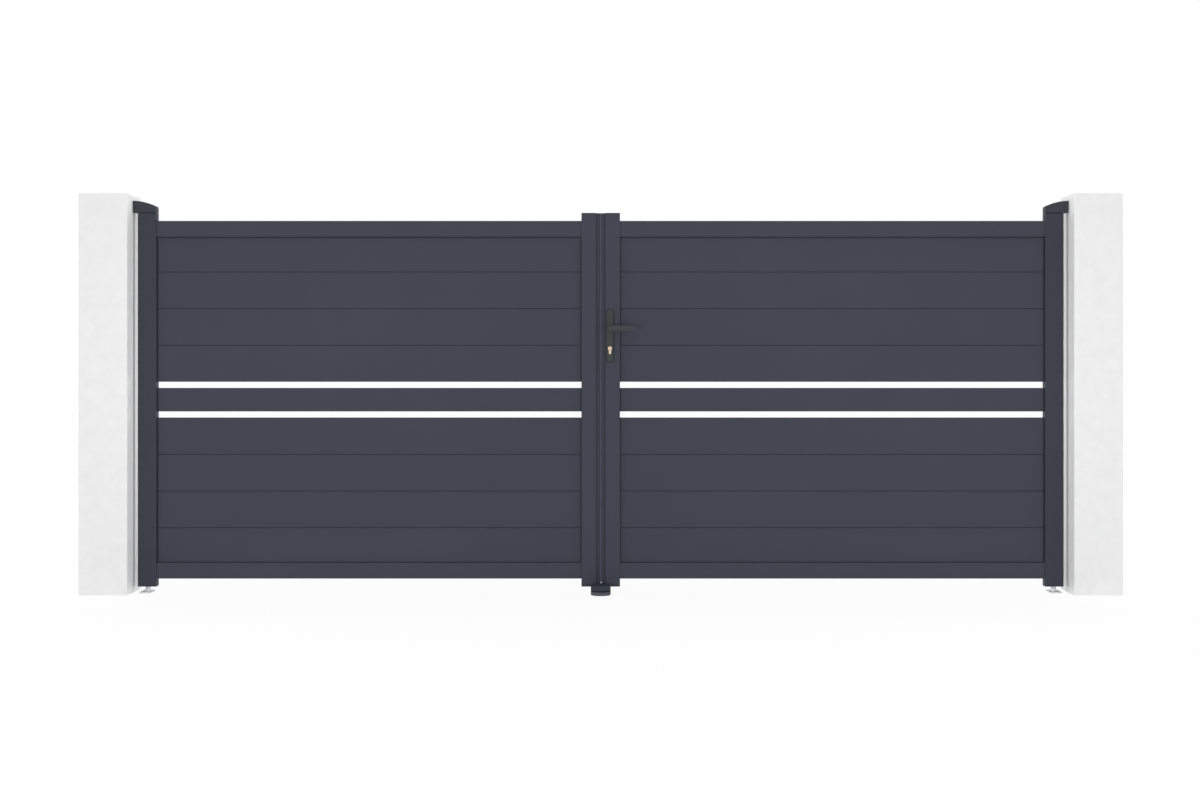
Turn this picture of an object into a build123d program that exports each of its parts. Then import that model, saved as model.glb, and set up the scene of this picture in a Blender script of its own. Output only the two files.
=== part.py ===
from build123d import *
import os

# Millimetres, +Z up. The origin is the middle of the left pillar's base, X runs
# along the gateway to the right and +Y points into the drive, where the leaves open.

# Gateway and rendered pillars
OPENING_WIDTH = 4000.0
PILLAR_WIDTH = 205.0
PILLAR_DEPTH = 224.0
PILLAR_ABOVE_BRACKET = 23.0
PILLAR_ARRIS = 2.0

# Leaf frame: hollow aluminium sections
LEAF_HEIGHT = 1597.0
GROUND_GAP = 26.0
LEAF_DEPTH = 46.0
WALL = 2.0
STILE_ARRIS = 0.6
HINGE_SIDE_GAP = 21.7
HINGE_STILE_WIDTH = 79.0
MEETING_FACE_WIDTH = 62.3
MEETING_TONGUE_WIDTH = 15.2
MEETING_TONGUE_FRONT = 9.0
MEETING_TONGUE_BACK = 14.0
MEETING_GAP = 9.6
RAIL_HEIGHT = 68.0
RAIL_DEPTH = 37.0
RAIL_END_OFFSET = 33.7
RAIL_GROOVE_DEPTH = 11.0

# Infill boards
SLAT_HEIGHT = 100.6
SLOT_HEIGHT = 26.3
BOARDS_PER_PANEL = 4
BOARD_DEPTH = 18.0
BOARD_WALL = 1.6
BOARD_JOINT_GAP = 1.1
BOARD_JOINT_BEVEL = 1.7
BOARD_EDGE_BEVEL = 0.5
BOARD_GROOVE_OVERLAP = 7.4
TONGUE_DEPTH = 5.5
TONGUE_HEIGHT = 8.0
TENON_LENGTH = 10.5

# Fits between pieces that stay still, and running fits at pins
FIT = 0.3
RUNNING_FIT = 0.1

# End caps and pivot plugs in the stile ends
CAP_FLANGE = 3.5
CAP_PLUG_LENGTH = 20.0
PIVOT_PLUG_LENGTH = 36.0

# Top brackets and floor pivots on the middle of the hinge stiles
PIN_RADIUS = 8.0
PIN_REACH = 32.0
THRUST_RADIUS = 14.0
THRUST_HEIGHT = 1.1
THRUST_GAP = 0.6
BRACKET_HEIGHT = 50.3
BRACKET_ARCH_RADIUS = 217.0
BRACKET_END_ROUND = 10.3
FOOT_PLATE_WIDTH = 49.0
FOOT_PLATE_OFFSET = 4.0
FOOT_PLATE_LENGTH = 89.0
FOOT_PLATE_THICKNESS = 4.6
FOOT_HOLE_RADIUS = 5.0
FOOT_HOLE_SPACING = 62.0
FOOT_COLLAR_RADIUS = 10.9
FOOT_NUT_RADIUS = 12.0
FOOT_NUT_HEIGHT = 10.9

# Round-ended floor stop in front of the meeting stiles
STOP_WIDTH = 84.6
STOP_LENGTH = 112.0
STOP_BASE_HEIGHT = 15.4
STOP_HEIGHT = 44.0
STOP_SEAM = 5.0
STOP_SEAM_INSET = 9.0
STOP_EDGE = 2.5
STOP_CROWN = 5.0
STOP_LEAF_GAP = 6.0

# Rubber seal between the meeting stiles
SEAL_CLEARANCE = 0.2
SEAL_DEPTH = 9.0
SEAL_PROUD = 2.3
SEAL_ROUND = 3.4
SEAL_END_GAP_LOW = 17.0
SEAL_END_GAP_HIGH = 4.0

# Handle set on the right leaf
HANDLE_FROM_FACE_EDGE = 19.4
HANDLE_HEIGHT = 1129.0
PLATE_WIDTH = 30.0
PLATE_HEIGHT = 223.0
PLATE_DEPTH = 9.0
PLATE_BEVEL = 2.0
PLATE_CORNER = 11.0
PLATE_TOP_ABOVE_LEVER = 80.6
NECK_RADIUS = 10.0
LEVER_REACH = 112.6
LEVER_HEIGHT = 24.0
LEVER_DEPTH = 14.0
LEVER_TIP_ROUND = 4.0
LEVER_FRONT_BEVEL = 2.0
LEVER_BACK_BEVEL = 2.0
FINGER_GAP = 38.0
SPINDLE_SIZE = 8.0
SPINDLE_GRIP = 20.0
SPINDLE_HOLE_RADIUS = 7.0
LOCK_CENTRES = 85.0
CYLINDER_RADIUS = 8.5
CYLINDER_HEIGHT = 33.0
CYLINDER_WEB = 10.0
CYLINDER_PROUD = 2.0
KEYWAY_WIDTH = 2.2
KEYWAY_HEIGHT = 9.0
KEYWAY_DEPTH = 8.0
FORE_PLATE_HEIGHT = 245.0
FORE_PLATE_WIDTH = 16.0
FORE_PLATE_THICKNESS = 2.5
KEEP_WIDTH = 11.0
BOLT_HOLE_HEIGHT = 22.0
BOLT_HOLE_MARGIN = 1.5

# Planes and places worked out from the sizes above
GATE_X = PILLAR_WIDTH / 2 + OPENING_WIDTH / 2
HALF_OPENING = OPENING_WIDTH / 2
LEAF_LOW = GROUND_GAP
LEAF_HIGH = GROUND_GAP + LEAF_HEIGHT
LEAF_MIDDLE = (LEAF_LOW + LEAF_HIGH) / 2
LEAF_HALF = LEAF_DEPTH / 2
HINGE_OUTER = HALF_OPENING - HINGE_SIDE_GAP
HINGE_INNER = HINGE_OUTER - HINGE_STILE_WIDTH
HINGE_AXIS = (HINGE_INNER + HINGE_OUTER) / 2
BRACKET_LOW = LEAF_HIGH + THRUST_HEIGHT + THRUST_GAP
BRACKET_HIGH = BRACKET_LOW + BRACKET_HEIGHT
PILLAR_HEIGHT = BRACKET_HIGH + PILLAR_ABOVE_BRACKET
TONGUE_END = MEETING_GAP / 2
FACE_START = TONGUE_END + MEETING_TONGUE_WIDTH
FACE_END = FACE_START + MEETING_FACE_WIDTH
RAIL_OUTER = LEAF_HEIGHT / 2 - RAIL_END_OFFSET
RAIL_INNER = RAIL_OUTER - RAIL_HEIGHT
PANEL_START = SLAT_HEIGHT / 2 + SLOT_HEIGHT
PANEL_END = RAIL_INNER + BOARD_GROOVE_OVERLAP
BOARD_PITCH = (PANEL_END - PANEL_START) / BOARDS_PER_PANEL
BOARD_HALF = BOARD_DEPTH / 2
HANDLE_X = FACE_START + HANDLE_FROM_FACE_EDGE
LOCK_HEIGHT = HANDLE_HEIGHT - LOCK_CENTRES
LOCK_MIDDLE = (HANDLE_HEIGHT + LOCK_HEIGHT) / 2
FORE_MIDDLE = (MEETING_TONGUE_BACK - MEETING_TONGUE_FRONT) / 2
FORE_LOW = FORE_MIDDLE - FORE_PLATE_WIDTH / 2
FORE_HIGH = FORE_MIDDLE + FORE_PLATE_WIDTH / 2
KEEP_HIGH = FORE_HIGH
KEEP_LOW = KEEP_HIGH - KEEP_WIDTH
STOP_Y = -LEAF_HALF - STOP_LEAF_GAP - STOP_LENGTH / 2


def block(x_low, x_high, y_low, y_high, z_low, z_high):
    """Box between six planes."""
    middle = Pos((x_low + x_high) / 2, (y_low + y_high) / 2, (z_low + z_high) / 2)
    return middle * Box(x_high - x_low, y_high - y_low, z_high - z_low)


def upright(x, y, radius, z_low, z_high):
    """Round bar along Z."""
    return Pos(x, y, (z_low + z_high) / 2) * Cylinder(radius, z_high - z_low)


def through_bar(x, z, radius, y_low, y_high):
    """Round bar along Y."""
    turn = Rot(90, 0, 0)
    return Pos(x, (y_low + y_high) / 2, z) * turn * Cylinder(radius, y_high - y_low)


def bar_along_x(outline, x_low, x_high):
    """Bar along X with an outline given as (y, z) points."""
    face = make_face(Polyline(*[(x_low, y, z) for y, z in outline], close=True))
    return extrude(face, amount=x_high - x_low, dir=(1, 0, 0))


def place(shape, side):
    """Puts a piece drawn right of the gate's middle on its own side of the gate."""
    if side == "left":
        shape = mirror(shape, about=Plane.YZ)
    return Pos(GATE_X, 0, 0) * shape


def save(shape, node):
    """Writes one named piece."""
    export_step(shape, "parts/" + node + ".step")


def pillar():
    shape = block(
        HALF_OPENING,
        HALF_OPENING + PILLAR_WIDTH,
        -PILLAR_DEPTH / 2,
        PILLAR_DEPTH / 2,
        0,
        PILLAR_HEIGHT,
    )
    shape = chamfer(shape.edges().filter_by(Axis.Z), PILLAR_ARRIS)
    return chamfer(shape.faces().sort_by(Axis.Z)[-1].edges(), PILLAR_ARRIS / 2)


def top_bracket():
    """Arched arm on the pillar that holds the upper pivot pin."""
    shape = block(HINGE_INNER, HALF_OPENING, -LEAF_HALF, LEAF_HALF, BRACKET_LOW, BRACKET_HIGH)
    arch_centre = BRACKET_HIGH - BRACKET_ARCH_RADIUS
    arch = through_bar(HALF_OPENING, arch_centre, BRACKET_ARCH_RADIUS, -LEAF_DEPTH, LEAF_DEPTH)
    shape = shape & arch
    end_edges = shape.edges().filter_by(Axis.Y).group_by(Axis.X)[0]
    shape = fillet(end_edges.sort_by(Axis.Z)[-1:], BRACKET_END_ROUND)
    pin_high = BRACKET_LOW + BRACKET_HEIGHT / 4
    return shape + upright(HINGE_AXIS, 0, PIN_RADIUS, LEAF_HIGH - PIN_REACH, pin_high)


def floor_pivot():
    """Ground plate with the lower pivot pin in a collar above a round nut."""
    plate_x = HINGE_AXIS + FOOT_PLATE_OFFSET
    plate = block(
        plate_x - FOOT_PLATE_WIDTH / 2,
        plate_x + FOOT_PLATE_WIDTH / 2,
        -FOOT_PLATE_LENGTH / 2,
        FOOT_PLATE_LENGTH / 2,
        0,
        FOOT_PLATE_THICKNESS,
    )
    for y in (-FOOT_HOLE_SPACING / 2, FOOT_HOLE_SPACING / 2):
        plate -= upright(plate_x, y, FOOT_HOLE_RADIUS, -1, FOOT_PLATE_THICKNESS + 1)
    nut_high = FOOT_PLATE_THICKNESS + FOOT_NUT_HEIGHT
    collar_high = LEAF_LOW - THRUST_HEIGHT - THRUST_GAP
    nut = upright(HINGE_AXIS, 0, FOOT_NUT_RADIUS, 0, nut_high)
    collar = upright(HINGE_AXIS, 0, FOOT_COLLAR_RADIUS, 0, collar_high)
    pin = upright(HINGE_AXIS, 0, PIN_RADIUS, 0, LEAF_LOW + PIN_REACH)
    return plate + nut + collar + pin


def stop_layer(inset, z_low, z_high):
    """Round-ended layer of the floor stop, set in from the stop's outline."""
    outline = SlotOverall(STOP_LENGTH - 2 * inset, STOP_WIDTH - 2 * inset, rotation=90)
    return extrude(Pos(0, STOP_Y, z_low) * outline, amount=z_high - z_low)


def stop_base():
    """Foot of the floor stop with the neck that carries the cap."""
    foot = stop_layer(0, 0, STOP_BASE_HEIGHT)
    foot = chamfer(foot.faces().sort_by(Axis.Z)[0].edges(), STOP_EDGE)
    return foot + stop_layer(STOP_SEAM_INSET, 0, STOP_BASE_HEIGHT + STOP_SEAM)


def stop_cap():
    cap = stop_layer(0, STOP_BASE_HEIGHT + STOP_SEAM, STOP_HEIGHT)
    return chamfer(cap.faces().sort_by(Axis.Z)[-1].edges(), STOP_CROWN)


def mortises(x_low, x_high):
    """Slots in a stile wall that take the ends of the boards."""
    half = BOARD_HALF + FIT
    slat = SLAT_HEIGHT / 2 + FIT
    cut = block(x_low, x_high, -half, half, LEAF_MIDDLE - slat, LEAF_MIDDLE + slat)
    start = PANEL_START - FIT
    end = PANEL_END + FIT
    cut += block(x_low, x_high, -half, half, LEAF_MIDDLE + start, LEAF_MIDDLE + end)
    cut += block(x_low, x_high, -half, half, LEAF_MIDDLE - end, LEAF_MIDDLE - start)
    return cut


def hinge_stile():
    low = LEAF_LOW + CAP_FLANGE
    high = LEAF_HIGH - CAP_FLANGE
    shape = block(HINGE_INNER, HINGE_OUTER, -LEAF_HALF, LEAF_HALF, low, high)
    shape = chamfer(shape.edges().filter_by(Axis.Z), STILE_ARRIS)
    inner = LEAF_HALF - WALL
    shape -= block(HINGE_INNER + WALL, HINGE_OUTER - WALL, -inner, inner, low, high)
    return shape - mortises(HINGE_INNER - 1, HINGE_INNER + WALL + 1)


def hinge_plug(end_z, inward):
    """Flanged plug in a hinge stile end, bored for the pivot pin, with a thrust boss."""
    flange_z = end_z + inward * CAP_FLANGE
    flange = block(
        HINGE_INNER,
        HINGE_OUTER,
        -LEAF_HALF,
        LEAF_HALF,
        min(end_z, flange_z),
        max(end_z, flange_z),
    )
    flange = chamfer(flange.edges().filter_by(Axis.Z), STILE_ARRIS)
    reach = end_z + inward * PIVOT_PLUG_LENGTH
    inner = LEAF_HALF - WALL - FIT
    body = block(
        HINGE_INNER + WALL + FIT,
        HINGE_OUTER - WALL - FIT,
        -inner,
        inner,
        min(end_z, reach),
        max(end_z, reach),
    )
    boss_end = end_z - inward * THRUST_HEIGHT
    boss = upright(HINGE_AXIS, 0, THRUST_RADIUS, min(boss_end, flange_z), max(boss_end, flange_z))
    bore_low = LEAF_LOW - THRUST_HEIGHT - 1
    bore_high = LEAF_HIGH + THRUST_HEIGHT + 1
    bore = upright(HINGE_AXIS, 0, PIN_RADIUS + RUNNING_FIT, bore_low, bore_high)
    return flange + body + boss - bore


def meeting_outline(z_low, z_high):
    """Face of the meeting stile with its set-back tongue."""
    front = -MEETING_TONGUE_FRONT
    face = block(FACE_START, FACE_END, -LEAF_HALF, LEAF_HALF, z_low, z_high)
    face = chamfer(face.edges().filter_by(Axis.Z), STILE_ARRIS)
    tongue = block(TONGUE_END, FACE_START + WALL, front, MEETING_TONGUE_BACK, z_low, z_high)
    return face + tongue


def fore_plate_place(y_low, y_high, thickness, grow):
    """Place of a lock plate let into the edge of a meeting stile."""
    half = FORE_PLATE_HEIGHT / 2 + grow
    return block(
        TONGUE_END,
        TONGUE_END + thickness,
        y_low - grow,
        y_high + grow,
        LOCK_MIDDLE - half,
        LOCK_MIDDLE + half,
    )


def bolt_holes():
    """Openings of the lock plates for the latch and the bolt."""
    cut = None
    for z in (HANDLE_HEIGHT, LOCK_HEIGHT):
        hole = block(
            TONGUE_END - 1,
            TONGUE_END + FORE_PLATE_THICKNESS + 1,
            KEEP_LOW + BOLT_HOLE_MARGIN,
            KEEP_HIGH - BOLT_HOLE_MARGIN,
            z - BOLT_HOLE_HEIGHT / 2,
            z + BOLT_HOLE_HEIGHT / 2,
        )
        cut = hole if cut is None else cut + hole
    return cut


def lock_fore_plate():
    """Lock plate in the right leaf's meeting edge."""
    return fore_plate_place(FORE_LOW, FORE_HIGH, FORE_PLATE_THICKNESS, 0) - bolt_holes()


def lock_keep():
    """Keep plate in the left leaf's meeting edge, behind the seal."""
    return fore_plate_place(KEEP_LOW, KEEP_HIGH, FORE_PLATE_THICKNESS, 0) - bolt_holes()


def meeting_stile(side):
    low = LEAF_LOW + CAP_FLANGE
    high = LEAF_HIGH - CAP_FLANGE
    shape = meeting_outline(low, high)
    inner = LEAF_HALF - WALL
    shape -= block(FACE_START + WALL, FACE_END - WALL, -inner, inner, low, high)
    front = WALL - MEETING_TONGUE_FRONT
    back = MEETING_TONGUE_BACK - WALL
    shape -= block(TONGUE_END + WALL, FACE_START + 2 * WALL, front, back, low, high)
    shape -= mortises(FACE_END - WALL - 1, FACE_END + 1)
    if side == "left":
        return shape - fore_plate_place(KEEP_LOW, KEEP_HIGH, WALL, FIT)
    shape -= fore_plate_place(FORE_LOW, FORE_HIGH, WALL, FIT)
    shape -= through_bar(HANDLE_X, HANDLE_HEIGHT, SPINDLE_HOLE_RADIUS, -LEAF_DEPTH, LEAF_DEPTH)
    return shape - cylinder_profile(FIT, -LEAF_DEPTH, LEAF_DEPTH)


def meeting_cap(end_z, inward):
    flange_z = end_z + inward * CAP_FLANGE
    reach = end_z + inward * CAP_PLUG_LENGTH
    inner = LEAF_HALF - WALL - FIT
    plug = block(
        FACE_START + WALL + FIT,
        FACE_END - WALL - FIT,
        -inner,
        inner,
        min(end_z, reach),
        max(end_z, reach),
    )
    return meeting_outline(min(end_z, flange_z), max(end_z, flange_z)) + plug


def end_caps():
    """Pivot plugs of the hinge stile and end caps of the meeting stile."""
    plugs = [hinge_plug(LEAF_LOW, 1), hinge_plug(LEAF_HIGH, -1)]
    caps = [meeting_cap(LEAF_LOW, 1), meeting_cap(LEAF_HIGH, -1)]
    return Compound(plugs + caps)


def rail(sign):
    """Grooved hollow rail: sign is 1 for the top rail and -1 for the bottom rail."""
    half = RAIL_DEPTH / 2
    outer = LEAF_MIDDLE + sign * RAIL_OUTER
    inner = LEAF_MIDDLE + sign * RAIL_INNER
    groove = inner + sign * RAIL_GROOVE_DEPTH
    lip = BOARD_HALF + FIT
    outline = [(-half, outer), (half, outer), (half, inner), (lip, inner)]
    outline += [(lip, groove), (-lip, groove), (-lip, inner), (-half, inner)]
    shape = bar_along_x(outline, FACE_END, HINGE_INNER)
    ends = sorted((outer - sign * WALL, groove + sign * WALL))
    return shape - block(FACE_END, HINGE_INNER, WALL - half, half - WALL, ends[0], ends[1])


def board(z_low, z_high, lower, upper):
    """Hollow board: each edge is a tongue, a groove or flat."""
    half = BOARD_HALF
    low_bevel = BOARD_JOINT_BEVEL if lower == "groove" else BOARD_EDGE_BEVEL
    high_bevel = BOARD_JOINT_BEVEL if upper == "tongue" else BOARD_EDGE_BEVEL
    top = z_high - BOARD_JOINT_GAP if upper == "tongue" else z_high
    outline = [(-half, z_low + low_bevel), (low_bevel - half, z_low)]
    if lower == "groove":
        wide = TONGUE_DEPTH / 2 + FIT
        deep = z_low + TONGUE_HEIGHT + FIT
        outline += [(-wide, z_low), (-wide, deep), (wide, deep), (wide, z_low)]
    outline += [(half - low_bevel, z_low), (half, z_low + low_bevel)]
    outline += [(half, top - high_bevel), (half - high_bevel, top)]
    if upper == "tongue":
        wide = TONGUE_DEPTH / 2
        tip = z_high + TONGUE_HEIGHT
        outline += [(wide, top), (wide, tip), (-wide, tip), (-wide, top)]
    outline += [(high_bevel - half, top), (-half, top - high_bevel)]
    x_low = FACE_END - TENON_LENGTH
    x_high = HINGE_INNER + TENON_LENGTH
    shape = bar_along_x(outline, x_low, x_high)
    floor = z_low + BOARD_WALL + low_bevel
    if lower == "groove":
        floor = z_low + TONGUE_HEIGHT + FIT + BOARD_WALL
    inner = half - BOARD_WALL
    return shape - block(x_low, x_high, -inner, inner, floor, top - BOARD_WALL - high_bevel)


def panel_board(name, number):
    """Board of the upper or lower panel, number 1 being the highest."""
    if name == "upper":
        top = LEAF_MIDDLE + PANEL_END
    else:
        top = LEAF_MIDDLE - PANEL_START
    high = top - (number - 1) * BOARD_PITCH
    low = top - number * BOARD_PITCH
    upper_edge = "flat" if number == 1 else "tongue"
    lower_edge = "flat" if number == BOARDS_PER_PANEL else "groove"
    return board(low, high, lower_edge, upper_edge)


def meeting_seal():
    """Round-nosed rubber seal on the left leaf's tongue, reaching across to the right leaf's."""
    front = -MEETING_TONGUE_FRONT - SEAL_PROUD
    shape = block(
        SEAL_CLEARANCE - TONGUE_END,
        TONGUE_END,
        front,
        front + SEAL_DEPTH,
        LEAF_LOW + SEAL_END_GAP_LOW,
        LEAF_HIGH - SEAL_END_GAP_HIGH,
    )
    return fillet(shape.edges().filter_by(Axis.Z).group_by(Axis.Y)[0], SEAL_ROUND)


def cylinder_profile(grow, y_low, y_high):
    """Round-and-web lock cylinder shape along Y."""
    web = CYLINDER_WEB / 2 + grow
    foot = LOCK_HEIGHT + CYLINDER_RADIUS - CYLINDER_HEIGHT + CYLINDER_WEB / 2
    shape = through_bar(HANDLE_X, LOCK_HEIGHT, CYLINDER_RADIUS + grow, y_low, y_high)
    shape += block(HANDLE_X - web, HANDLE_X + web, y_low, y_high, foot, LOCK_HEIGHT)
    return shape + through_bar(HANDLE_X, foot, web, y_low, y_high)


def lock_cylinder():
    reach = LEAF_HALF + PLATE_DEPTH + CYLINDER_PROUD
    shape = cylinder_profile(0, -reach, reach)
    for end in (-reach, reach):
        shape -= block(
            HANDLE_X - KEYWAY_WIDTH / 2,
            HANDLE_X + KEYWAY_WIDTH / 2,
            end - KEYWAY_DEPTH,
            end + KEYWAY_DEPTH,
            LOCK_HEIGHT - KEYWAY_HEIGHT / 2,
            LOCK_HEIGHT + KEYWAY_HEIGHT / 2,
        )
    return shape


def handle_plate():
    """Backplate on the front face."""
    front = -LEAF_HALF - PLATE_DEPTH
    high = HANDLE_HEIGHT + PLATE_TOP_ABOVE_LEVER
    half = PLATE_WIDTH / 2
    shape = block(
        HANDLE_X - half,
        HANDLE_X + half,
        front,
        -LEAF_HALF,
        high - PLATE_HEIGHT,
        high,
    )
    shape = fillet(shape.edges().filter_by(Axis.Y), PLATE_CORNER)
    shape = chamfer(shape.faces().sort_by(Axis.Y)[0].edges(), PLATE_BEVEL)
    bore = NECK_RADIUS + RUNNING_FIT
    shape -= through_bar(HANDLE_X, HANDLE_HEIGHT, bore, front - 1, 0)
    return shape - cylinder_profile(FIT, front - 1, 0)


def lever():
    """Flat lever with a round heel on its neck, on the front face."""
    back = -LEAF_HALF - PLATE_DEPTH - FINGER_GAP
    front = back - LEVER_DEPTH
    half = LEVER_HEIGHT / 2
    low = HANDLE_HEIGHT - half
    grip = block(HANDLE_X, HANDLE_X + LEVER_REACH, front, back, low, low + LEVER_HEIGHT)
    tip = grip.edges().filter_by(Axis.Y).group_by(Axis.X)[-1]
    grip = fillet(tip, LEVER_TIP_ROUND)
    grip += through_bar(HANDLE_X, HANDLE_HEIGHT, half, front, back)
    grip = chamfer(grip.faces().sort_by(Axis.Y)[0].edges(), LEVER_FRONT_BEVEL)
    grip = chamfer(grip.faces().sort_by(Axis.Y)[-1].edges(), LEVER_BACK_BEVEL)
    neck = through_bar(HANDLE_X, HANDLE_HEIGHT, NECK_RADIUS, back - LEVER_DEPTH / 2, -LEAF_HALF)
    half = SPINDLE_SIZE / 2 + RUNNING_FIT
    socket = block(
        HANDLE_X - half,
        HANDLE_X + half,
        -LEAF_HALF - SPINDLE_GRIP,
        0,
        HANDLE_HEIGHT - half,
        HANDLE_HEIGHT + half,
    )
    return grip + neck - socket


def spindle():
    half = SPINDLE_SIZE / 2
    reach = LEAF_HALF + SPINDLE_GRIP
    return block(
        HANDLE_X - half,
        HANDLE_X + half,
        -reach,
        reach,
        HANDLE_HEIGHT - half,
        HANDLE_HEIGHT + half,
    )


os.makedirs("parts", exist_ok=True)

for side in ("left", "right"):
    save(place(pillar(), side), side + "_pillar")
    save(place(top_bracket(), side), side + "_top_bracket")
    save(place(floor_pivot(), side), side + "_floor_pivot")
    save(place(hinge_stile(), side), side + "_hinge_stile")
    save(place(meeting_stile(side), side), side + "_meeting_stile")
    save(place(end_caps(), side), side + "_end_caps")
    save(place(rail(1), side), side + "_top_rail")
    save(place(rail(-1), side), side + "_bottom_rail")
    slat_low = LEAF_MIDDLE - SLAT_HEIGHT / 2
    slat_high = LEAF_MIDDLE + SLAT_HEIGHT / 2
    save(place(board(slat_low, slat_high, "flat", "flat"), side), side + "_middle_slat")
    for panel in ("upper", "lower"):
        for number in range(1, BOARDS_PER_PANEL + 1):
            node = side + "_" + panel + "_board_" + str(number)
            save(place(panel_board(panel, number), side), node)

save(place(meeting_seal(), "left"), "meeting_seal")
save(place(stop_base(), "right"), "stop_base")
save(place(stop_cap(), "right"), "stop_cap")

save(place(handle_plate(), "right"), "front_handle_plate")
save(place(mirror(handle_plate(), about=Plane.XZ), "right"), "back_handle_plate")
save(place(lock_cylinder(), "right"), "lock_cylinder")
save(place(lock_fore_plate(), "right"), "lock_fore_plate")
save(place(lock_keep(), "left"), "lock_keep")
save(place(lever(), "right"), "front_lever")
save(place(mirror(lever(), about=Plane.XZ), "right"), "back_lever")
save(place(spindle(), "right"), "spindle")
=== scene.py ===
"""Double swing gate: finishes, small fixings, studio floor, light and camera."""
import math

import bmesh
import bpy
from mathutils import Matrix, Vector


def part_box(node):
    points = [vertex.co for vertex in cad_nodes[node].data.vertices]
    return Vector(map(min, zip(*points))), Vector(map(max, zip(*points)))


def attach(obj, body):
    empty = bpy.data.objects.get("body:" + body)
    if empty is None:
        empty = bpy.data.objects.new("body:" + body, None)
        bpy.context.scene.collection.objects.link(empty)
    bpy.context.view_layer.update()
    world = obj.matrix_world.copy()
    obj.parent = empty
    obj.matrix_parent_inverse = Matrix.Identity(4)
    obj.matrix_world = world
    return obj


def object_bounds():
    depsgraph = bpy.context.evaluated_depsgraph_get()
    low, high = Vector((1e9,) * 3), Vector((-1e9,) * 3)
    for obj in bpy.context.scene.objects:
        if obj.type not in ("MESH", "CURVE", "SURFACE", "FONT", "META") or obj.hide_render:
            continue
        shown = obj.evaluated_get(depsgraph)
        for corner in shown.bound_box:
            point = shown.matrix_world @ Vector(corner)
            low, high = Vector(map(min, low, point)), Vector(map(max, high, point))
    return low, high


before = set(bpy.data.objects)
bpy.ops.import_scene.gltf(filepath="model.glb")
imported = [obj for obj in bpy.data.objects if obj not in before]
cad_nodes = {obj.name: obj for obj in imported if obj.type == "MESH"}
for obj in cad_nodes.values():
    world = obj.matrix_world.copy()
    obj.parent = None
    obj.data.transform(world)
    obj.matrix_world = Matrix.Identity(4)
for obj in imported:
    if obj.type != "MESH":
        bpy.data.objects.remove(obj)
box_at_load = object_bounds()

MM = 0.001
SIDES = ("left", "right")
FRONT = Vector((0, -1, 0))
BACK = Vector((0, 1, 0))
UP = Vector((0, 0, 1))
RIGHT = Vector((1, 0, 0))

# Patterns in the finishes, millimetres
COAT_CLOUD = 420
COAT_GRAIN = 0.9
MOULD_CLOUD = 30
METAL_MARK = 0.5
ZINC_CRYSTAL = 8
ZINC_BLOOM = 3
RENDER_CLOUD = 55
RENDER_SWEEP = 38
RENDER_SAND = 2.4

# Broken edges: the small round on each kind of piece, millimetres
EDGE_ROUNDS = (
    ("_pillar", 0.9),
    ("_top_bracket", 1.6),
    ("_stile", 0.6),
    ("_rail", 0.8),
    ("stop_", 1.4),
    ("_lever", 1.6),
    ("_handle_plate", 1.0),
    ("lock_cylinder", 0.3),
    ("_floor_pivot", 0.5),
    ("_end_caps", 0.5),
    ("_board_", 0.4),
    ("_slat", 0.5),
)
EDGE_STEPS = 3
EDGE_ANGLE = math.radians(32)
FLAT_ANGLE = math.radians(1)
WELD_DISTANCE = 0.01
CRISP_ANGLE = math.radians(35)
MANY_CORNERS = 5
RING_POINTS = 36
CORNER_STEPS = 8

# Dark strips that paint shade lines round the panels and handle plates, millimetres
HINGE_SHADE_STRIP_WIDTH = 4.0
SHADE_STRIP_WIDTH = 2.8
SHADE_STRIP_HEIGHT = 3.0
SHADE_STRIP_PROFILE = ((0, 0), (1, 0), (0.92, 0.38), (0.71, 0.71), (0.38, 0.92), (0, 1))
PLATE_CORNER = 11.0
PLATE_SHADE_RIM_WIDTH = 1.6
PLATE_SHADE_RIM_HEIGHT = 1.2

# Screw heads: heights in millimetres, widths as shares of the head's radius
SCREW_SEAT_DEPTH = 1.2
SCREW_RIM_LOW = 0.05
SCREW_RIM_HIGH = 0.25
SCREW_PROUD = 0.45
SOCKET_DEPTH = 0.9
SCREW_SEAT_SHARE = 0.8
SCREW_CROWN_SHARE = 0.9
SOCKET_MOUTH_SHARE = 0.5
SOCKET_FLOOR_SHARE = 0.48
SOCKET_SIDES = 6

# Screws and where they sit, millimetres
PLATE_SCREW_RADIUS = 4.2
PLATE_SCREW_INSET = 15.0
LEVER_SCREW_RADIUS = 2.4
LEVER_SCREW_DROP = 9.7
LEVER_SCREW_REACH = 9.0
LOCK_SCREW_RADIUS = 3.4
LOCK_SCREW_INSET = 10.0
GROUND_SCREW_RADIUS = 8.0
GROUND_SCREW_INSET = 13.5
GROUND_PLATE_TOP = 4.6

# Lock furniture, millimetres
CYLINDER_HEAD_RADIUS = 8.5
PLUG_OUTER_RADIUS = 6.6
PLUG_INNER_RADIUS = 5.8
PLUG_PROUD = 0.2
PLUG_ROUND = 0.1
PLUG_SUNK = 0.3
BOLT_LENGTH = 9.0
BOLT_HALF_THICKNESS = 3.7
BOLT_HALF_HEIGHT = 10.6
BOLT_SET_BACK = 0.4
BOLT_CHAMFER = 0.6
LATCH_SET_BACK = 0.3
LATCH_SLOPE_START = 3.5
LATCH_TIP_FRONT = -0.6

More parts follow.
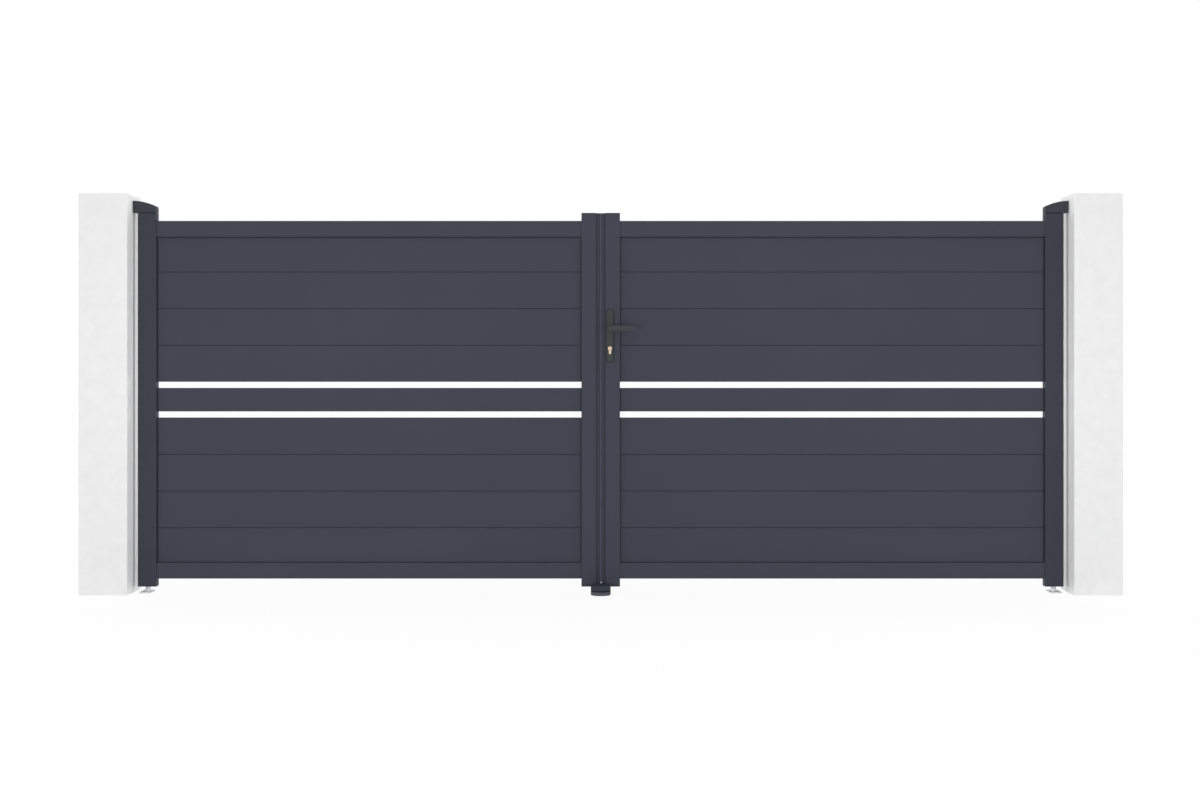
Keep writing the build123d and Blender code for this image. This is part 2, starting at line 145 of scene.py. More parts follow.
# Meeting seal and floor stop, millimetres
SEAL_LIP_INSET = 0.25
SEAL_LIP_BACK = 5.0
SEAL_LIP_HALF_WIDTH = 0.42
SEAL_LIP_HALF_DEPTH = 0.9
SEAL_LIP_POINTS = 10
SEAL_HEAD_ABOVE_STILE = 3.2
SEAL_HEAD_CORNER = 2.0
SEAL_HEAD_CHAMFER = 0.6
SEAL_LUG_DROP = 11.0
SEAL_LUG_HEAD_WIDTH = 2.6
SEAL_LUG_FOOT_WIDTH = 6.4
SEAL_LUG_FRONT = 3.0
SEAL_LUG_BACK = 8.0
STOP_SEAM_HEIGHT = 5.0
# The ring in the stop's seam is a dark strip that paints the shade of its groove.
STOP_SHADE_RING_INSET = 3.0
STOP_SHADE_RING_CHAMFER = 0.8
STOP_NECK_INSET = 9.0
STOP_END_FLAT = 0.2

# Studio and camera: metres, watts and degrees
GATE_X = (box_at_load[0][0] + box_at_load[1][0]) / 2
GATE_MIDDLE = Vector((GATE_X, 0, 0.85))
FLOOR_REACH = 60
FLOOR_GLOW = 0.915
ROOM_LEVEL = 0.71
SOFTBOX_DISTANCE = 5.6
SOFTBOX_HEIGHT = 0.35
SOFTBOX_SIZE = (7.0, 0.7)
FRONT_WATTS = 107
DRIVE_WATTS = 95
PILLAR_LAMP_ACROSS = 1.6
PILLAR_LAMP_OUT = 1.1
PILLAR_LAMP_SIZE = (0.5, 1.7)
PILLAR_LAMP_SPREAD = 30
PILLAR_STREET_WATTS = 1.3
PILLAR_DRIVE_WATTS = 1.95
FULL_SPREAD = 180
CAMERA_DISTANCE = 7.629
CAMERA_HEIGHT = 0.977
CAMERA_LENS = 53.4
CAMERA_SENSOR = 36.0
CAMERA_SHIFT_X = -0.0006
CAMERA_SHIFT_Y = -0.0291


# Finishes

def linear(hex_colour):
    """sRGB hex colour as linear RGBA."""
    channels = []
    for start in (1, 3, 5):
        value = int(hex_colour[start:start + 2], 16) / 255
        if value <= 0.04045:
            channels.append(value / 12.92)
        else:
            channels.append(((value + 0.055) / 1.055) ** 2.4)
    return (*channels, 1.0)


def per_mm(size):
    """Texture scale whose pattern repeats about every size millimetres."""
    return 1 / (size * MM)


def add_node(tree, kind, inputs=None, **settings):
    """Adds a node with its settings; an input takes a value or another node's output."""
    node = tree.nodes.new(kind)
    for name, setting in settings.items():
        setattr(node, name, setting)
    for name, value in (inputs or {}).items():
        if isinstance(value, bpy.types.NodeSocket):
            tree.links.new(value, node.inputs[name])
        else:
            node.inputs[name].default_value = value
    return node


def empty_tree(owner):
    """The node tree of a material or world, with nothing in it."""
    owner.use_nodes = True
    owner.node_tree.nodes.clear()
    return owner.node_tree


def bare_finish(name):
    """Material with an empty tree, and the coordinates that its patterns are laid on."""
    material = bpy.data.materials.new(name)
    tree = empty_tree(material)
    place = add_node(tree, "ShaderNodeTexCoord")
    return material, tree, place.outputs["Object"]


def surface(tree, values):
    """Ends a finish with its shader and output."""
    shader = add_node(tree, "ShaderNodeBsdfPrincipled", values)
    add_node(tree, "ShaderNodeOutputMaterial", {"Surface": shader.outputs["BSDF"]})


def powder_coat(name, dark, light, fleck, sheen=0.2):
    """Polyester powder baked on aluminium or zinc: dull and even, with a dry tooth and flecks."""
    material, tree, place = bare_finish(name)
    clouds = add_node(
        tree, "ShaderNodeTexNoise", {"Vector": place, "Scale": per_mm(COAT_CLOUD), "Detail": 3}
    )
    # Real grains are about 0.3 mm wide and are drawn three times coarser so that they show.
    tooth = add_node(tree, "ShaderNodeTexNoise", {"Vector": place, "Scale": per_mm(COAT_GRAIN)})
    drift = add_node(
        tree,
        "ShaderNodeMixRGB",
        {"Fac": clouds.outputs["Fac"], "Color1": linear(dark), "Color2": linear(light)},
    )
    crests = add_node(
        tree,
        "ShaderNodeMapRange",
        {"Value": tooth.outputs["Fac"], "From Min": 0.58, "From Max": 0.76, "To Max": 0.7},
    )
    colour = add_node(
        tree,
        "ShaderNodeMixRGB",
        {
            "Fac": crests.outputs["Result"],
            "Color1": drift.outputs["Color"],
            "Color2": linear(fleck),
        },
    )
    dullness = add_node(
        tree,
        "ShaderNodeMapRange",
        {"Value": clouds.outputs["Fac"], "To Min": 0.52, "To Max": 0.68},
    )
    grains = add_node(
        tree,
        "ShaderNodeBump",
        {"Height": tooth.outputs["Fac"], "Distance": 0.05 * MM, "Strength": 0.25},
    )
    surface(
        tree,
        {
            "Base Color": colour.outputs["Color"],
            "Roughness": dullness.outputs["Result"],
            "Specular IOR Level": sheen,
            "Normal": grains.outputs["Normal"],
        },
    )
    return material


def moulded(name, dark, light, roughness, grain):
    """Nylon from a spark-eroded mould, or moulded or extruded rubber: matt, with an even grain."""
    material, tree, place = bare_finish(name)
    clouds = add_node(tree, "ShaderNodeTexNoise", {"Vector": place, "Scale": per_mm(MOULD_CLOUD)})
    # A mould's own grain is about 0.1 mm wide and is drawn coarser so that it shows.
    pits = add_node(tree, "ShaderNodeTexNoise", {"Vector": place, "Scale": per_mm(grain)})
    colour = add_node(
        tree,
        "ShaderNodeMixRGB",
        {"Fac": clouds.outputs["Fac"], "Color1": linear(dark), "Color2": linear(light)},
    )
    skin = add_node(
        tree,
        "ShaderNodeBump",
        {"Height": pits.outputs["Fac"], "Distance": 0.08 * MM, "Strength": 0.3},
    )
    surface(
        tree,
        {
            "Base Color": colour.outputs["Color"],
            "Roughness": roughness,
            "Specular IOR Level": 0.3,
            "Normal": skin.outputs["Normal"],
        },
    )
    return material


def bright_metal(name, dark, light, low, high, cloud):
    """Plated or turned metal: pale, with a soft reflection that drifts a little."""
    material, tree, place = bare_finish(name)
    clouds = add_node(
        tree, "ShaderNodeTexNoise", {"Vector": place, "Scale": per_mm(cloud), "Detail": 4}
    )
    # Tool marks are about 0.1 mm apart and are drawn five times coarser so that they show.
    marks = add_node(tree, "ShaderNodeTexNoise", {"Vector": place, "Scale": per_mm(METAL_MARK)})
    colour = add_node(
        tree,
        "ShaderNodeMixRGB",
        {"Fac": clouds.outputs["Fac"], "Color1": linear(dark), "Color2": linear(light)},
    )
    polish = add_node(
        tree,
        "ShaderNodeMapRange",
        {"Value": clouds.outputs["Fac"], "To Min": low, "To Max": high},
    )
    turning = add_node(
        tree,
        "ShaderNodeBump",
        {"Height": marks.outputs["Fac"], "Distance": 0.02 * MM, "Strength": 0.15},
    )
    surface(
        tree,
        {
            "Base Color": colour.outputs["Color"],
            "Metallic": 1.0,
            "Roughness": polish.outputs["Result"],
            "Normal": turning.outputs["Normal"],
        },
    )
    return material


def galvanised_steel():
    """Steel dipped in zinc and weathered: crystals under a matt, grey-white bloom."""
    material, tree, place = bare_finish("galvanised_steel")
    crystals = add_node(
        tree, "ShaderNodeTexVoronoi", {"Vector": place, "Scale": per_mm(ZINC_CRYSTAL)}
    )
    bloom = add_node(
        tree, "ShaderNodeTexNoise", {"Vector": place, "Scale": per_mm(ZINC_BLOOM), "Detail": 3}
    )
    colour = add_node(
        tree,
        "ShaderNodeMixRGB",
        {
            "Fac": crystals.outputs["Color"],
            "Color1": linear("#dcdee0"),
            "Color2": linear("#eceeef"),
        },
    )
    dullness = add_node(
        tree,
        "ShaderNodeMapRange",
        {"Value": bloom.outputs["Fac"], "To Min": 0.6, "To Max": 0.8},
    )
    dip = add_node(
        tree,
        "ShaderNodeBump",
        {"Height": bloom.outputs["Fac"], "Distance": 0.1 * MM, "Strength": 0.2},
    )
    surface(
        tree,
        {
            "Base Color": colour.outputs["Color"],
            "Metallic": 0.1,
            "Roughness": dullness.outputs["Result"],
            "Specular IOR Level": 0.15,
            "Normal": dip.outputs["Normal"],
        },
    )
    return material


def trowelled_render():
    """White lime render floated on masonry: faint clouds, trowel sweeps and a sandy tooth."""
    material, tree, place = bare_finish("trowelled_white_render")
    clouds = add_node(
        tree,
        "ShaderNodeTexNoise",
        {"Vector": place, "Scale": per_mm(RENDER_CLOUD), "Detail": 5, "Roughness": 0.62},
    )
    floated = add_node(
        tree, "ShaderNodeTexNoise", {"Vector": place, "Scale": per_mm(RENDER_SWEEP), "Detail": 3}
    )
    sand = add_node(
        tree, "ShaderNodeTexNoise", {"Vector": place, "Scale": per_mm(RENDER_SAND), "Detail": 3}
    )
    colour = add_node(
        tree,
        "ShaderNodeMixRGB",
        {"Fac": clouds.outputs["Fac"], "Color1": linear("#e8e8e8"), "Color2": linear("#f8f8f8")},
    )
    sweeps = add_node(
        tree,
        "ShaderNodeBump",
        {"Height": floated.outputs["Fac"], "Distance": 1.2 * MM, "Strength": 0.06},
    )
    tooth = add_node(
        tree,
        "ShaderNodeBump",
        {
            "Height": sand.outputs["Fac"],
            "Distance": 0.4 * MM,
            "Strength": 0.2,
            "Normal": sweeps.outputs["Normal"],
        },
    )
    surface(
        tree,
        {
            "Base Color": colour.outputs["Color"],
            "Roughness": 0.9,
            "Specular IOR Level": 0.2,
            "Normal": tooth.outputs["Normal"],
        },
    )
    return material


leaf_coat = powder_coat("anthracite_powder_coat", "#3a3d48", "#414450", "#5b5e69")
# The hinge stiles get a darker copy of the leaf's coat: painted shade from the pillars beside
# them.
shaded_stile_coat = powder_coat("anthracite_powder_coat_painted_shade", "#353742", "#3c3e49", "#565a64")
bracket_coat = powder_coat("cast_bracket_powder_coat", "#35383f", "#3b3e46", "#545861")
handle_coat = powder_coat("handle_satin_coat", "#353b38", "#3d4340", "#585d5b", sheen=0.3)
lever_coat = powder_coat("lever_satin_coat", "#36393d", "#3e4145", "#585b60", sheen=0.3)
cap_nylon = moulded("moulded_dark_nylon", "#292c34", "#31343c", roughness=0.55, grain=0.8)
stop_nylon = moulded("moulded_stop_nylon", "#494c55", "#535660", roughness=0.5, grain=0.8)
stop_rubber = moulded("moulded_stop_rubber", "#2c313a", "#343944", roughness=0.62, grain=1.2)
# Near-black rubber: the seal's foot lug, and the dark strips that paint shade lines at the panels,
# handle plates and stop seam.
lug_rubber_and_painted_shade = moulded("near_black_rubber_and_painted_shade", "#121520", "#191c29", roughness=0.75, grain=0.8)
seal_rubber = moulded("extruded_seal_rubber", "#434655", "#4d505f", roughness=0.55, grain=0.7)
zinc = bright_metal("zinc_plated_steel", "#b7babe", "#d2d5d8", low=0.4, high=0.62, cloud=14)
brass = bright_metal("turned_pale_brass", "#e2c1ab", "#f3dac9", low=0.26, high=0.44, cloud=9)
pivot_zinc = galvanised_steel()
render_coat = trowelled_render()

FINISHES = (
    ("_pillar", render_coat),
    ("_top_bracket", bracket_coat),
    ("_floor_pivot", pivot_zinc),
    ("spindle", zinc),
    ("lock_fore_plate", zinc),
    ("lock_keep", zinc),
    ("_end_caps", cap_nylon),
    ("stop_base", stop_nylon),
    ("stop_cap", stop_rubber),
    ("meeting_seal", seal_rubber),
    ("lock_cylinder", brass),
    ("_lever", lever_coat),
    ("_handle_plate", handle_coat),
    ("_hinge_stile", shaded_stile_coat),
)


def finish_for(node):
    """The finish of a piece from the end of its name; the rest of a leaf has the leaf's coat."""
    for ending, finish in FINISHES:
        if node.endswith(ending):
            return finish
    return leaf_coat


def soften_edges(piece, width, mortised):
    """Rounds the sharp edges of a CAD piece with modifiers."""
    weld = piece.modifiers.new("weld", "WELD")
    weld.merge_threshold = WELD_DISTANCE * MM
    flats = piece.modifiers.new("flats", "DECIMATE")
    flats.decimate_type = "DISSOLVE"
    flats.angle_limit = FLAT_ANGLE
    if mortised:
        # One face can't run round a mortise, so the walls are split before they are rounded.
        split = piece.modifiers.new("split_walls", "TRIANGULATE")
        split.min_vertices = MANY_CORNERS
    edge = piece.modifiers.new("edge_round", "BEVEL")
    edge.width = width * MM
    edge.segments = EDGE_STEPS
    edge.limit_method = "ANGLE"
    edge.angle_limit = EDGE_ANGLE
    edge.use_clamp_overlap = True
    normals = piece.modifiers.new("even_shading", "WEIGHTED_NORMAL")
    normals.keep_sharp = True


for name, piece in cad_nodes.items():
    piece.data.materials.clear()
    piece.data.materials.append(finish_for(name))
    for mark, width in EDGE_ROUNDS:
        if mark in name:
            soften_edges(piece, width, mortised=name.endswith("_stile"))
            break


# Small pieces: dark strips that paint shade lines, screws and lock furniture

def loft(name, runs, body, finish, around=False):
    """Skins each run of equal point loops; around joins the last loop to the first."""
    mesh = bpy.data.meshes.new(name)
    work = bmesh.new()
    for loops in runs:
        rows = [[work.verts.new(point) for point in loop] for loop in loops]
        pairs = list(zip(rows, rows[1:]))
        if around:
            pairs.append((rows[-1], rows[0]))
        else:
            work.faces.new(list(reversed(rows[0])))
            work.faces.new(rows[-1])
        for low, high in pairs:
            for step in range(len(low)):
                after = (step + 1) % len(low)
                work.faces.new((low[step], low[after], high[after], high[step]))
    bmesh.ops.recalc_face_normals(work, faces=work.faces)
    work.to_mesh(mesh)
    work.free()
    for polygon in mesh.polygons:
        polygon.use_smooth = len(polygon.vertices) == 4
    piece = bpy.data.objects.new(name, mesh)
    bpy.context.scene.collection.objects.link(piece)
    crease = piece.modifiers.new("crisp_edges", "EDGE_SPLIT")
    crease.split_angle = CRISP_ANGLE
    mesh.materials.append(finish)
    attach(piece, body)
    return piece


def ring(radius, height, sides=0):
    """Loop of points round the local Z axis: a circle, or a polygon with that many sides."""
    points = []
    for step in range(RING_POINTS):
        turn = 2 * math.pi * step / RING_POINTS
        reach = radius
        if sides:
            sector = 2 * math.pi / sides
            reach = radius * math.cos(sector / 2) / math.cos(turn % sector - sector / 2)
        points.append(Vector((reach * math.cos(turn), reach * math.sin(turn), height)))
    return points


def turned_piece(name, rings, centre, outward, body, finish, around=False):
    """Turned piece through rings in millimetres, set at centre and facing outward."""
    facing = UP.rotation_difference(outward).to_matrix().to_4x4()
    placed = Matrix.Translation(centre) @ facing
    loops = [[placed @ (point * MM) for point in points] for points in rings]
    return loft(name, [loops], body, finish, around)


def socket_screw(name, centre, outward, radius, body, finish):
    """Flat screw head with a six-sided socket, just proud of its plate."""
    rings = (
        ring(radius * SCREW_SEAT_SHARE, -SCREW_SEAT_DEPTH),
        ring(radius, SCREW_RIM_LOW),
        ring(radius, SCREW_RIM_HIGH),
        ring(radius * SCREW_CROWN_SHARE, SCREW_PROUD),
        ring(radius * SOCKET_MOUTH_SHARE, SCREW_PROUD, SOCKET_SIDES),
        ring(radius * SOCKET_FLOOR_SHARE, -SOCKET_DEPTH, SOCKET_SIDES),
    )
    return turned_piece(name, rings, centre, outward, body, finish)


def shade_strip_run(start, end, across, outward, width=SHADE_STRIP_WIDTH):
    """Quarter-round dark strip that paints the shade in a corner, from start to end, lying along
    across and outward.
    """
    loops = []
    for corner in (start, end):
        loop = []
        for along, up in SHADE_STRIP_PROFILE:
            spread = across * (along * width * MM)
            loop.append(corner + spread + outward * (up * SHADE_STRIP_HEIGHT * MM))
        loops.append(loop)
    return loops


def panel_shade_strips(side):
    """Dark strips that paint the shade where the boards meet the stiles and rails of one leaf."""
    rail_low, rail_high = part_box(side + "_top_rail")
    top = rail_low.z
    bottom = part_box(side + "_bottom_rail")[1].z
    slat_low, slat_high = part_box(side + "_middle_slat")
    upper_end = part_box(side + "_upper_board_4")[0].z
    lower_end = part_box(side + "_lower_board_1")[1].z
    spans = ((upper_end, top), (slat_low.z, slat_high.z), (bottom, lower_end))
    # The strip is wider at the hinge stile, where the painted shade line is wider.
    widths = [HINGE_SHADE_STRIP_WIDTH, SHADE_STRIP_WIDTH]
    if side == "right":
        widths.reverse()
    for face, y, outward in (("front", slat_low.y, FRONT), ("back", slat_high.y, BACK)):
        runs = []
        for x, across, width in (
            (rail_low.x, RIGHT, widths[0]),
            (rail_high.x, -RIGHT, widths[1]),
        ):
            for low, high in spans:
                start = Vector((x, y, low))
                end = Vector((x, y, high))
                runs.append(shade_strip_run(start, end, across, outward, width))
        for z, across in ((top, -UP), (bottom, UP)):
            start = Vector((rail_low.x + widths[0] * MM, y, z))
            end = Vector((rail_high.x - widths[1] * MM, y, z))
            runs.append(shade_strip_run(start, end, across, outward))
        name = side + "_" + face + "_panel_painted_shade_strip"
        loft(name, runs, side + "_leaf", lug_rubber_and_painted_shade)


def ground_screws(side):
    """Two screws that hold a floor pivot's plate to the ground."""
    low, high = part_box(side + "_floor_pivot")
    inset = GROUND_SCREW_INSET * MM
    x = (low.x + high.x) / 2
    z = low.z + GROUND_PLATE_TOP * MM
    for end, y in (("front", low.y + inset), ("back", high.y - inset)):
        name = side + "_ground_screw_" + end
        place = Vector((x, y, z))
        socket_screw(name, place, UP, GROUND_SCREW_RADIUS, "piers", pivot_zinc)


def round_cornered(low, high, corner):
    """Outline of a rectangle with round corners, as pairs of metres."""
    points = []
    centres = (
        (high[0] - corner, high[1] - corner, 0),
        (low[0] + corner, high[1] - corner, 90),
        (low[0] + corner, low[1] + corner, 180),
        (high[0] - corner, low[1] + corner, 270),
    )
    for u, v, start in centres:
        for step in range(CORNER_STEPS + 1):
            turn = math.radians(start + 90 * step / CORNER_STEPS)
            points.append((u + corner * math.cos(turn), v + corner * math.sin(turn)))
    return points


def handle_plate_shade_rim_and_screws(face, outward):
    """Dark rim that paints the shade round a handle plate, and on the back the two fixing screws.
    """
    low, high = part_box(face + "_handle_plate")
    seat = high.y if face == "front" else low.y
    crest = seat + outward.y * PLATE_SHADE_RIM_HEIGHT * MM
    loops = []
    for width, y in (
        (PLATE_SHADE_RIM_WIDTH, seat),
        (PLATE_SHADE_RIM_WIDTH, crest),
        (0, crest),
        (0, seat),
    ):
        grow = width * MM
        outline = round_cornered(
            (low.x - grow, low.z - grow), (high.x + grow, high.z + grow), PLATE_CORNER * MM + grow
        )
        loops.append([Vector((u, y, v)) for u, v in outline])
    name = face + "_plate_painted_shade_rim"
    loft(name, [loops], "right_leaf", lug_rubber_and_painted_shade, around=True)
    if face == "back":
        x = (low.x + high.x) / 2
        inset = PLATE_SCREW_INSET * MM
        for end, z in (("upper", high.z - inset), ("lower", low.z + inset)):
            socket_screw(
                end + "_plate_screw",
                Vector((x, high.y, z)),
                BACK,
                PLATE_SCREW_RADIUS,
                "right_leaf",
                handle_coat,
            )


def lever_screw(face, outward):
    """Small screw under the neck that holds a lever to the spindle."""
    low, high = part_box(face + "_lever")
    plate_low, plate_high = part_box(face + "_handle_plate")
    plate_front = plate_low.y if face == "front" else plate_high.y
    x = low.x + (high.z - low.z) / 2
    y = plate_front + outward.y * LEVER_SCREW_REACH * MM
    z = (low.z + high.z) / 2 - LEVER_SCREW_DROP * MM
    socket_screw(
        face + "_lever_screw",
        Vector((x, y, z)),
        -UP,
        LEVER_SCREW_RADIUS,
        "lever_handle",
        zinc,
    )


def cylinder_plug(face, outward):
    """Raised rim of the turning plug round the keyway."""
    low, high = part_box("lock_cylinder")
    y = low.y if face == "front" else high.y
    rings = (
        ring(PLUG_OUTER_RADIUS, -PLUG_SUNK),
        ring(PLUG_OUTER_RADIUS, PLUG_PROUD - PLUG_ROUND),
        ring(PLUG_OUTER_RADIUS - 2 * PLUG_ROUND, PLUG_PROUD),
        ring(PLUG_INNER_RADIUS + PLUG_ROUND, PLUG_PROUD),
        ring(PLUG_INNER_RADIUS, -PLUG_SUNK),
    )
    place = Vector(((low.x + high.x) / 2, y, high.z - CYLINDER_HEAD_RADIUS * MM))
    name = face + "_cylinder_plug"
    turned_piece(name, rings, place, outward, "right_leaf", brass, around=True)


def bolt_block(name, z, nose):
    """Lock bolt drawn back behind the fore plate: loops from its back to its nose."""
    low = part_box("lock_fore_plate")[0]
    keep_low, keep_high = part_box("lock_keep")
    y = (keep_low.y + keep_high.y) / 2
    loops = []
    for depth, front, back, half in nose:
        x = low.x + depth * MM
        loops.append(
            [
                Vector((x, y - front * MM, z - half * MM)),
                Vector((x, y + back * MM, z - half * MM)),
                Vector((x, y + back * MM, z + half * MM)),
                Vector((x, y - front * MM, z + half * MM)),
            ]
        )
    loft(name, [loops], "right_leaf", zinc)


def lock_furniture():
    """Latch, dead bolt and the screws of the lock's two edge plates."""
    lever_low, lever_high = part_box("front_lever")
    cylinder_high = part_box("lock_cylinder")[1]
    thick = BOLT_HALF_THICKNESS
    tall = BOLT_HALF_HEIGHT
    latch_nose = (
        (BOLT_LENGTH, thick, thick, tall),
        (LATCH_SLOPE_START, thick, thick, tall),
        (LATCH_SET_BACK, LATCH_TIP_FRONT, thick, tall),
    )
    bolt_nose = (
        (BOLT_LENGTH, thick, thick, tall),
        (BOLT_SET_BACK + BOLT_CHAMFER, thick, thick, tall),
        (BOLT_SET_BACK, thick - BOLT_CHAMFER, thick - BOLT_CHAMFER, tall - BOLT_CHAMFER),
    )
    bolt_block("spring_latch", (lever_low.z + lever_high.z) / 2, latch_nose)
    bolt_block("dead_bolt", cylinder_high.z - CYLINDER_HEAD_RADIUS * MM, bolt_nose)
    inset = LOCK_SCREW_INSET * MM
    for plate, body, outward in (
        ("lock_fore_plate", "right_leaf", -RIGHT),
        ("lock_keep", "left_leaf", RIGHT),
    ):
        low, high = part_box(plate)
        x = low.x if outward.x < 0 else high.x
        y = (low.y + high.y) / 2
        for end, z in (("upper", high.z - inset), ("lower", low.z + inset)):
            name = end + "_" + plate + "_screw"
            place = Vector((x, y, z))
            socket_screw(name, place, outward, LOCK_SCREW_RADIUS, body, zinc)


def seal_lip():
    """Soft lip along the meeting seal's edge."""
    low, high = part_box("meeting_seal")
    x = high.x - SEAL_LIP_INSET * MM
    y = low.y + SEAL_LIP_BACK * MM
    loops = []
    for z in (low.z, high.z):
        loop = []
        for step in range(SEAL_LIP_POINTS):
            turn = 2 * math.pi * step / SEAL_LIP_POINTS
            across = SEAL_LIP_HALF_WIDTH * MM * math.cos(turn)
            along = SEAL_LIP_HALF_DEPTH * MM * math.sin(turn)
            loop.append(Vector((x + across, y + along, z)))
        loops.append(loop)
    loft("seal_lip", [loops], "left_leaf", seal_rubber)


def seal_head_plug():
    """Plug that closes the meeting seal's head, a little above the stiles."""
    low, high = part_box("meeting_seal")
    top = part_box("left_meeting_stile")[1].z + SEAL_HEAD_ABOVE_STILE * MM
    shoulder = top - SEAL_HEAD_CHAMFER * MM
    loops = []
    for inset, z in ((0, high.z), (0, shoulder), (SEAL_HEAD_CHAMFER, top)):
        edge = inset * MM
        outline = round_cornered(
            (low.x + edge, low.y + edge), (high.x - edge, high.y - edge), SEAL_HEAD_CORNER * MM
        )
        loops.append([Vector((u, v, z)) for u, v in outline])
    loft("seal_head_plug", [loops], "left_leaf", cap_nylon)


def seal_foot_lug():
    """Small slanted lug that ends the meeting seal at its foot."""
    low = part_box("meeting_seal")[0]
    outline = (
        (0, 0),
        (0, -SEAL_LUG_DROP),
        (SEAL_LUG_FOOT_WIDTH, -SEAL_LUG_DROP),
        (SEAL_LUG_HEAD_WIDTH, 0),
    )
    loops = []
    for depth in (SEAL_LUG_FRONT, SEAL_LUG_BACK):
        y = low.y + depth * MM
        loops.append([Vector((low.x + u * MM, y, low.z + v * MM)) for u, v in outline])
    loft("seal_foot_lug", [loops], "left_leaf", lug_rubber_and_painted_shade)


def stop_seam_shade_ring():
    """Dark ring that paints the shade in the seam between the floor stop's base and cap."""
    low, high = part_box("stop_cap")
    half = (high.x - low.x) / 2
    seam_low = low.z - STOP_SEAM_HEIGHT * MM
    chamfer = STOP_SHADE_RING_CHAMFER
    loops = []
    for inset, z in (
        (STOP_NECK_INSET, seam_low),
        (STOP_SHADE_RING_INSET + chamfer, seam_low),
        (STOP_SHADE_RING_INSET, seam_low + chamfer * MM),
        (STOP_SHADE_RING_INSET, low.z - chamfer * MM),
        (STOP_SHADE_RING_INSET + chamfer, low.z),
        (STOP_NECK_INSET, low.z),
    ):
        edge = inset * MM
        corner = half - edge - STOP_END_FLAT * MM
        outline = round_cornered(
            (low.x + edge, low.y + edge), (high.x - edge, high.y - edge), corner
        )
        loops.append([Vector((u, v, z)) for u, v in outline])
    loft("stop_seam_painted_shade_ring", [loops], "piers", lug_rubber_and_painted_shade, around=True)


for side in SIDES:
    panel_shade_strips(side)
    ground_screws(side)

for face, outward in (("front", FRONT), ("back", BACK)):
    handle_plate_shade_rim_and_screws(face, outward)
    lever_screw(face, outward)
    cylinder_plug(face, outward)

lock_furniture()
seal_lip()
seal_head_plug()
seal_foot_lug()
stop_seam_shade_ring()


# Studio floor, light and camera

def sight(tree):
    """One where the eye, a reflection or a look through glass meets the surface."""
    path = add_node(tree, "ShaderNodeLightPath")
    direct = add_node(
        tree,
        "ShaderNodeMath",
        {0: path.outputs["Is Camera Ray"], 1: path.outputs["Is Glossy Ray"]},
        operation="MAXIMUM",
    )
    either = add_node(
        tree,
        "ShaderNodeMath",
        {0: direct.outputs["Value"], 1: path.outputs["Is Transmission Ray"]},
        operation="MAXIMUM",
    )
    return either.outputs["Value"]


def studio_floor():
    """Wide pale floor: it shows white to the eye and keeps a soft shadow under the gate."""
    mesh = bpy.data.meshes.new("studio_floor")
    reach = FLOOR_REACH
    mesh.from_pydata(
        [(-reach, -reach, 0), (reach, -reach, 0), (reach, reach, 0), (-reach, reach, 0)],
        [],
        [(0, 1, 2, 3)],
    )
    floor = bpy.data.objects.new("studio_floor", mesh)
    bpy.context.scene.collection.objects.link(floor)
    material = bpy.data.materials.new("pale_studio_floor")
    tree = empty_tree(material)
    bounce = add_node(tree, "ShaderNodeBsdfDiffuse", {"Color": linear("#f0f0f0")})
    shaded = add_node(tree, "ShaderNodeBsdfDiffuse", {"Color": linear("#5c5c5c")})
    glow = add_node(tree, "ShaderNodeEmission", {"Strength": FLOOR_GLOW})
    white = add_node(
        tree, "ShaderNodeAddShader", {0: shaded.outputs["BSDF"], 1: glow.outputs["Emission"]}
    )
    seen = add_node(
        tree,
        "ShaderNodeMixShader",
        {0: sight(tree), 1: bounce.outputs["BSDF"], 2: white.outputs["Shader"]},
    )
    add_node(tree, "ShaderNodeOutputMaterial", {"Surface": seen.outputs["Shader"]})
    mesh.materials.append(material)


def studio_world():
    """Soft even room light, white where the eye or a reflection looks at it."""
    world = bpy.data.worlds.new("studio_world")
    bpy.context.scene.world = world
    tree = empty_tree(world)
    level = add_node(
        tree, "ShaderNodeMapRange", {"Value": sight(tree), "To Min": ROOM_LEVEL, "To Max": 1.0}
    )
    room = add_node(
        tree,
        "ShaderNodeBackground",
        {"Color": linear("#ffffff"), "Strength": level.outputs["Result"]},
    )
    add_node(tree, "ShaderNodeOutputWorld", {"Surface": room.outputs["Background"]})


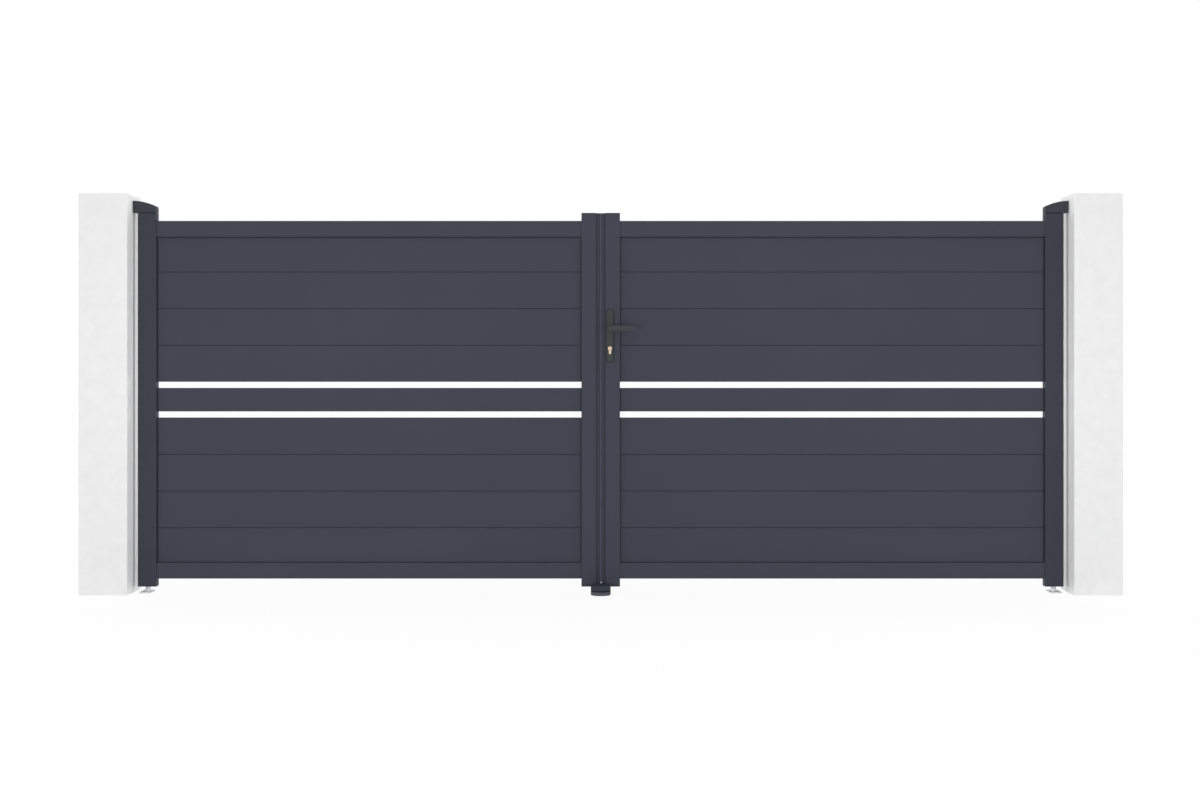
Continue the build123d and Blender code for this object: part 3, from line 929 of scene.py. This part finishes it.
def softbox(name, place, aim, size, watts, spread=FULL_SPREAD):
    """Large soft lamp; a smaller spread in degrees keeps its light to a narrower beam."""
    lamp = bpy.data.lights.new(name, "AREA")
    lamp.shape = "RECTANGLE"
    lamp.size, lamp.size_y = size
    lamp.energy = watts
    lamp.spread = math.radians(spread)
    holder = bpy.data.objects.new(name, lamp)
    bpy.context.scene.collection.objects.link(holder)
    holder.location = place
    holder.rotation_euler = (aim - place).to_track_quat("-Z", "Y").to_euler()
    holder.visible_camera = False
    holder.visible_glossy = False


def long_softboxes():
    """One long low lamp before each face of the gate."""
    for face, turn, watts in (("front", -1, FRONT_WATTS), ("drive", 1, DRIVE_WATTS)):
        place = Vector((GATE_X, turn * SOFTBOX_DISTANCE, SOFTBOX_HEIGHT))
        softbox(face + "_softbox", place, GATE_MIDDLE, SOFTBOX_SIZE, watts)


def pillar_softboxes():
    """Across the gateway on both faces, one lamp to each pillar's inner side."""
    height = GATE_MIDDLE.z
    for side, turn in (("left", 1), ("right", -1)):
        low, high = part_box(side + "_pillar")
        aim = Vector((high.x if turn > 0 else low.x, 0, height))
        x = GATE_X + turn * PILLAR_LAMP_ACROSS
        for face, y, watts in (
            ("street", -PILLAR_LAMP_OUT, PILLAR_STREET_WATTS),
            ("drive", PILLAR_LAMP_OUT, PILLAR_DRIVE_WATTS),
        ):
            name = side + "_" + face + "_softbox"
            softbox(name, Vector((x, y, height)), aim, PILLAR_LAMP_SIZE, watts, PILLAR_LAMP_SPREAD)


def photo_camera():
    """Level camera on the gate's centre line, shifted to frame it."""
    camera = bpy.data.cameras.new("photo_camera")
    camera.lens = CAMERA_LENS
    camera.sensor_width = CAMERA_SENSOR
    camera.shift_x = CAMERA_SHIFT_X
    camera.shift_y = CAMERA_SHIFT_Y
    viewer = bpy.data.objects.new("photo_camera", camera)
    bpy.context.scene.collection.objects.link(viewer)
    viewer.location = (GATE_X, -CAMERA_DISTANCE, CAMERA_HEIGHT)
    viewer.rotation_euler = (math.radians(90), 0, 0)
    bpy.context.scene.camera = viewer


studio_floor()
studio_world()
long_softboxes()
pillar_softboxes()
photo_camera()
bpy.context.scene.view_settings.view_transform = "Standard"
